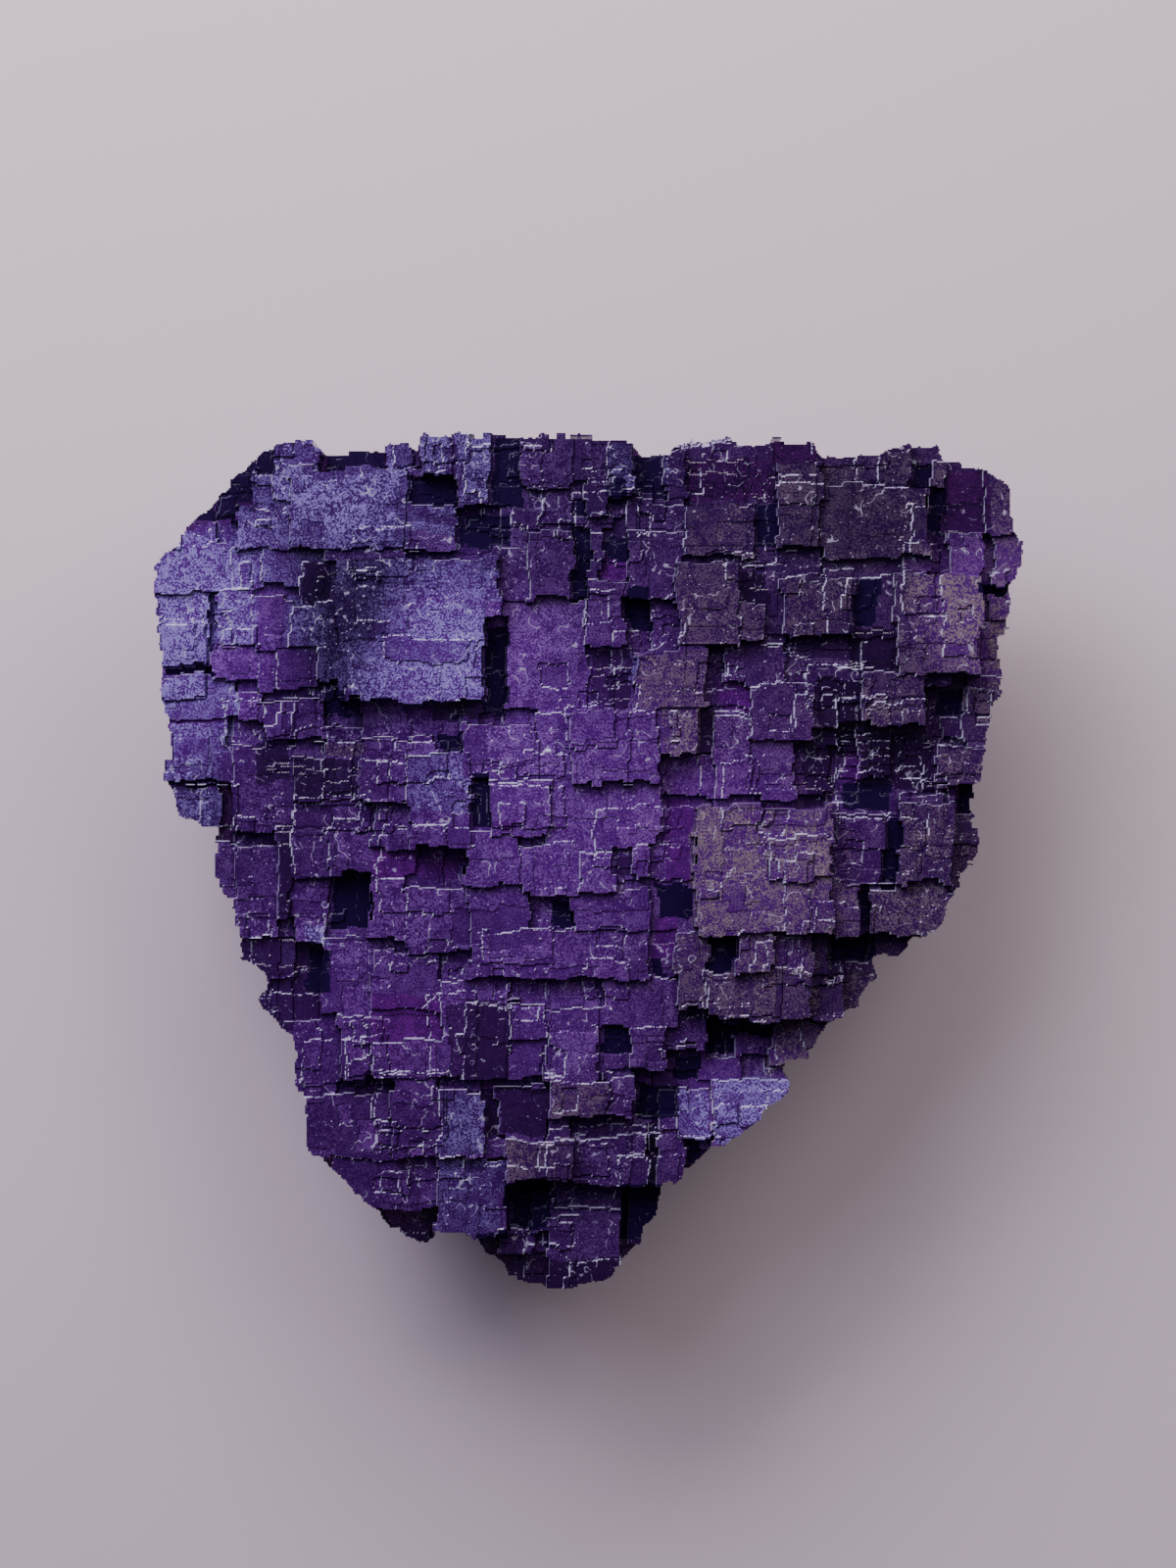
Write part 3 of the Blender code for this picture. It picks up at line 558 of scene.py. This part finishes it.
# %% The crystal
crystal = bpy.data.objects.new("crystal", mesh)
bpy.context.scene.collection.objects.link(crystal)
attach(crystal, "root")
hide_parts(NODE)
print("crystal", [round(side / MM, 2) for side in crystal.dimensions], "mm")

# %% [markdown]
# ## Shader maths as expressions
# The crystal's finish is a mix of masks: where frost lies, where dust lies, where it is black. A
# small class wraps a socket, so that a sum or product of masks can be written as one, and a second
# class adds every other kind of node.


# %% The socket class
class Wire:
    """A value in a material. Arithmetic on it adds Math nodes to the same material."""

    def __init__(self, graph, socket):
        self.graph = graph
        self.socket = socket

    def math(self, operation, *others, clamp=False):
        """The result of one Math node with this value first."""
        values = dict(enumerate((self, *others)))
        return self.graph.node("ShaderNodeMath", {"operation": operation, "use_clamp": clamp}, values)

    def __add__(self, other):
        return self.math("ADD", other)

    def __sub__(self, other):
        return self.math("SUBTRACT", other)

    def __mul__(self, other):
        return self.math("MULTIPLY", other)

    def __rsub__(self, other):
        return self.graph.node("ShaderNodeMath", {"operation": "SUBTRACT"}, {0: other, 1: self})

    __radd__ = __add__
    __rmul__ = __mul__

    def output(self, number):
        """Another output of the same node."""
        return Wire(self.graph, self.socket.node.outputs[number])

    def size(self):
        """The value without its sign."""
        return self.math("ABSOLUTE")

    def clamp(self):
        """The value kept between 0 and 1."""
        return self.math("ADD", 0.0, clamp=True)


# %% The node tree class
class Graph:
    """The node tree of one material, with a method that adds any node."""

    def __init__(self, name):
        self.material = bpy.data.materials.new(name)
        self.material.use_nodes = True
        self.tree = self.material.node_tree
        self.tree.nodes.clear()

    def node(self, kind, settings=None, inputs=None, output=0):
        """Add a node: its settings first, then the values and links of its sockets."""
        made = self.tree.nodes.new(kind)
        for key, value in (settings or {}).items():
            setattr(made, key, value)
        for key, value in (inputs or {}).items():
            if isinstance(value, Wire):
                self.tree.links.new(value.socket, made.inputs[key])
            else:
                made.inputs[key].default_value = value
        return Wire(self, made.outputs[output]) if made.outputs else None

    def ramp(self, value, start, end):
        """From 0 at start to 1 at end, smoothly: smoothstep((value - start) / (end - start))."""
        return self.node("ShaderNodeMapRange", {"interpolation_type": "SMOOTHSTEP"},
                         {"Value": value, "From Min": start, "From Max": end})

    def blend(self, share, first, second):
        """A colour between first and second."""
        return self.node("ShaderNodeMix", {"data_type": "RGBA"},
                         {"Factor": share, 6: first, 7: second}, output=2)

    def noise(self, place, size, detail=0.0, rough=0.5):
        """Soft noise from 0 to 1 with blobs of the given size in metres."""
        return self.node("ShaderNodeTexNoise", {},
                         {"Vector": place, "Scale": 1.0 / size, "Detail": detail,
                          "Roughness": rough})

    def level(self, name):
        """A value that is stored in the mesh."""
        return self.node("ShaderNodeAttribute", {"attribute_name": name}, output=2)


print("node classes ready")


# %% [markdown]
# ## Fluorite
# Clear fluorite bends light less than glass. Its purple comes from the depth, so it is an
# absorbing volume inside a clear surface. The etched faces are a second, rough surface that
# covers the clear one where the frost is. One plain purple glass would miss that frost.

# %% Colours of the crystal
# Dust and frost tinted by painted reflection, and white for painted edge highlights, lines and specks
LILAC = (0.235, 0.175, 0.50, 1.0)
TAUPE = (0.185, 0.13, 0.165, 1.0)
PURPLE_DUST = (0.25, 0.085, 0.40, 1.0)
WHITE = (0.62, 0.58, 0.80, 1.0)
# Bare faces painted lit and shaded, painted shade for cracks and recesses, painted glow for windows
VIOLET = (0.060, 0.0008, 0.14, 1.0)
SHADE = (0.012, 0.001, 0.033, 1.0)
PAINTED_SHADE_INK = (0.006, 0.001, 0.028, 1.0)
PAINTED_GLOW_MAGENTA = (0.13, 0.005, 0.23, 1.0)
# The clear crystal
FLUORITE_IOR = 1.434
ABSORB_COLOUR = (0.70, 0.05, 0.80, 1.0)
ABSORB_DENSITY = 750.0
print("fluorite bends light", FLUORITE_IOR, "times as much as air")

# %% [markdown]
# The material starts from the place on the crystal, the direction of the face, and the values
# that are stored in the mesh. Object coordinates keep the pattern on the crystal in every view.

# %% Where things are on the crystal
stone = Graph("fluorite")
place = stone.node("ShaderNodeTexCoord", output=3)
normal = stone.node("ShaderNodeNewGeometry", output=1)
to_right = stone.node("ShaderNodeSeparateXYZ", {}, {0: normal})
to_far, upward = to_right.output(1), to_right.output(2)
# Read from the mesh: among them the painted light, the painted reflection tint, the painted glow and
# the painted shade of the recesses
frost_level, painted_light_level = stone.level("frost"), stone.level("painted_light")
painted_warm_reflection_level, violet_level = stone.level("painted_warm_reflection"), stone.level("violet")
painted_glow_level, painted_recess_shade_level = stone.level("painted_glow"), stone.level("painted_recess_shade")
front_level, drop_level = stone.level("front"), stone.level("drop")
print("inputs:", len(stone.tree.nodes), "nodes")

# %% [markdown]
# Three noises break up the finish: specks as small as grains of dust, patches as wide as the small
# steps, and clouds as wide as the large blocks. Every mask reads one of these three, since each
# noise is worked out at every hit of every ray.

# %% Three noises
SPECK_SIZE, PATCH_SIZE, CLOUD_SIZE = 0.12 * MM, 0.7 * MM, 4.0 * MM
speckle = stone.noise(place, SPECK_SIZE)
mottle = stone.noise(place, PATCH_SIZE, 1.0, 0.65)
cloud = stone.noise(place, CLOUD_SIZE, 3.0, 0.6)
print("noises of", [round(size / MM, 2) for size in (SPECK_SIZE, PATCH_SIZE, CLOUD_SIZE)], "mm")

# %% [markdown]
# Painted highlights lie along the upper part of the steps that face the far left, as if light
# caught them there, broken into dashes by noise, and thin painted shade runs along the steps that
# face the other way. Both come from the direction of the face, so they follow every jog. The value
# drop tells how far a point lies below the brink of its step, in millimetres.

# %% Painted highlights and shade on step edges
facing = 0.7 * to_far - 0.8 * to_right
steep = 1.0 - stone.ramp(upward, 0.25, 0.6)
edge_highlight_breakup = stone.ramp(0.6 * mottle + 0.4 * speckle + 0.08 * steep, 0.44, 0.54)
brink = front_level * (1.0 - stone.ramp(drop_level, 0.15, 0.5))
painted_edge_highlight = stone.ramp(facing, 0.35, 0.55) * edge_highlight_breakup * brink
painted_edge_shade = stone.ramp(-1.0 * facing, 0.15, 0.5) * front_level
print("step edges:", len(stone.tree.nodes), "nodes so far")

# %% [markdown]
# Fine squiggly lines and white specks of dust lie on the faces. The lines are the places where the
# cloud noise passes through one value, as a contour line does on a map.

# %% Lines and specks
line = (1.0 - stone.ramp((cloud - 0.53).size(), 0.002, 0.007)) * stone.ramp(mottle, 0.50, 0.58)
speck = stone.ramp(speckle, 0.80, 0.85)
# The white marks: painted highlights on step edges, and the real lines and specks of dust
edge_highlights_and_marks = ((0.75 * painted_edge_highlight + 0.4 * line + 0.6 * speck) * (1.0 - 0.8 * painted_recess_shade_level)).clamp()
print("lines and specks:", len(stone.tree.nodes), "nodes so far")

# %% [markdown]
# ## Frosted skin
# Etching leaves the faces dull and dusty. How much dust shows on a spot is a product: the frost of
# its face, the grain, the cloud over it, and the painted light, which shows more of it where the
# face would catch the light.

# %% Share of dust
grain = stone.ramp(0.6 * speckle + 0.4 * mottle, 0.41, 0.61)
skin_share = frost_level * (0.06 + 1.05 * grain) * (0.35 + 1.2 * cloud) * (0.40 + 0.75 * painted_light_level)
skin_share = skin_share.clamp()
etched = stone.ramp(frost_level, 0.15, 0.30)
print("dust:", len(stone.tree.nodes), "nodes so far")

# %% [markdown]
# The colour of the skin is laid on like thin coats of paint: the bare face, painted lit or shaded,
# its dust with a painted reflection tint, a painted purple glow, painted shade in the cracks and
# recesses, and last the white marks, which are painted edge highlights as well as real lines and
# specks.

# %% Colour of the skin
# Painted light and shade: the bare face is a lit or a shaded copy of violet, set by the painted light
bare_colour = stone.blend((0.25 + 1.1 * painted_light_level).clamp(), SHADE, VIOLET)
# Painted reflection: the dust is tinted lilac at the left and warm grey at the right
dust = stone.blend(painted_warm_reflection_level, LILAC, TAUPE)
tint = stone.blend(violet_level * (0.75 - 0.35 * painted_warm_reflection_level), dust, PURPLE_DUST)
skin_colour = stone.blend(skin_share, bare_colour, tint)
# Painted glow: magenta where light would come through the crystal
skin_colour = stone.blend(painted_glow_level * (0.2 + 0.7 * grain), skin_colour, PAINTED_GLOW_MAGENTA)
# Painted shade: dark in cracks and recesses and along steps that face away from the light
skin_colour = stone.blend((0.65 * painted_edge_shade + 0.93 * painted_recess_shade_level).clamp(), skin_colour, PAINTED_SHADE_INK)
# White for painted edge highlights and for the real lines and specks
skin_colour = stone.blend(edge_highlights_and_marks, skin_colour, WHITE)
print("colour:", len(stone.tree.nodes), "nodes so far")

# %% [markdown]
# The rough skin and the clear crystal are mixed. The sides have less skin than the front, so that
# light still comes through thin edges. Inside, the crystal swallows green most, then red.

# %% Skin, crystal and depth
bump = stone.node("ShaderNodeBump", {}, {"Strength": 0.6, "Distance": 0.03 * MM, "Height": speckle})
skin = stone.node("ShaderNodeBsdfPrincipled", {},
                  {"Base Color": skin_colour, "Roughness": 0.5, "IOR": FLUORITE_IOR,
                   "Specular IOR Level": 0.06, "Normal": bump})
clear = stone.node("ShaderNodeBsdfPrincipled", {},
                   {"Base Color": (1.0, 1.0, 1.0, 1.0), "Roughness": 0.06, "IOR": FLUORITE_IOR,
                    "Transmission Weight": 1.0})
cover = 0.25 + 0.20 * front_level + 0.5 * etched + 0.5 * skin_share
cover = (cover + 0.6 * edge_highlights_and_marks + 0.3 * painted_glow_level + 0.5 * painted_recess_shade_level).clamp()
surface = stone.node("ShaderNodeMixShader", {}, {0: cover, 1: clear, 2: skin})
depth = stone.node("ShaderNodeVolumeAbsorption", {},
                   {"Color": ABSORB_COLOUR, "Density": ABSORB_DENSITY})
stone.node("ShaderNodeOutputMaterial", {}, {"Surface": surface, "Volume": depth})
crystal.data.materials.clear()
crystal.data.materials.append(stone.material)
print("fluorite has", len(stone.tree.nodes), "nodes")

# %% [markdown]
# ## Floor
# The crystal lies on a plain pale floor, wide enough to fill every view.

# %% The floor
FLOOR_HALF = 1.0
FLOOR_COLOUR = (0.79, 0.655, 0.74, 1.0)
floor_mesh = bpy.data.meshes.new("floor")
floor_mesh.from_pydata([(-FLOOR_HALF, -FLOOR_HALF, 0), (FLOOR_HALF, -FLOOR_HALF, 0),
                        (FLOOR_HALF, FLOOR_HALF, 0), (-FLOOR_HALF, FLOOR_HALF, 0)], [], [(0, 1, 2, 3)])
floor = bpy.data.objects.new("floor", floor_mesh)
bpy.context.scene.collection.objects.link(floor)
paper = Graph("paper")
paper_shader = paper.node("ShaderNodeBsdfPrincipled", {},
                          {"Base Color": FLOOR_COLOUR, "Roughness": 0.9})
paper.node("ShaderNodeOutputMaterial", {}, {"Surface": paper_shader})
floor_mesh.materials.append(paper.material)
print("floor", 2 * FLOOR_HALF, "m wide")

# %% [markdown]
# ## Light
# Three soft lamps stand beyond the crystal and to its sides. None is above it, because the flat
# faces would mirror that lamp into the camera and lose their deep purple. The lamps are closer to
# the far side, so the floor gets darker towards the viewer.


# %% The lights
def softbox(name, location, target, size, power, colour):
    """A rectangular lamp that faces its target."""
    data = bpy.data.lights.new(name, "AREA")
    data.shape = "RECTANGLE"
    data.size, data.size_y = size
    data.energy = power
    data.color = colour
    lamp = bpy.data.objects.new(name, data)
    lamp.location = location
    aim = Vector(target) - Vector(location)
    lamp.rotation_euler = aim.to_track_quat("-Z", "Y").to_euler()
    bpy.context.scene.collection.objects.link(lamp)
    print(name, power, "W")


# Places and sizes in metres
CRYSTAL_TOP, FLOOR_BEYOND = (0, 0.04, 0), (0, 0.09, 0)
softbox("window_left", (-0.16, 0.18, 0.25), CRYSTAL_TOP, (0.20, 0.24), 0.52, (0.76, 0.77, 1.0))
softbox("lamp_far", (-0.06, 0.20, 0.16), FLOOR_BEYOND, (0.24, 0.10), 0.62, (1.0, 0.93, 0.98))
softbox("window_right", (0.17, 0.18, 0.25), CRYSTAL_TOP, (0.20, 0.24), 0.38, (1.0, 0.94, 0.94))

# %% [markdown]
# The room itself gives only a faint even light, so that the shadows between the blocks stay dark.

# %% The room
ROOM_COLOUR, ROOM_STRENGTH = (0.80, 0.75, 0.82, 1.0), 0.12
room = bpy.data.worlds.new("room")
room.use_nodes = True
room.node_tree.nodes["Background"].inputs["Color"].default_value = ROOM_COLOUR
room.node_tree.nodes["Background"].inputs["Strength"].default_value = ROOM_STRENGTH
bpy.context.scene.world = room
print("room light", ROOM_STRENGTH)

# %% [markdown]
# ## The end
# The last call brings the scene up to date.

# %% The end
bpy.context.view_layer.update()
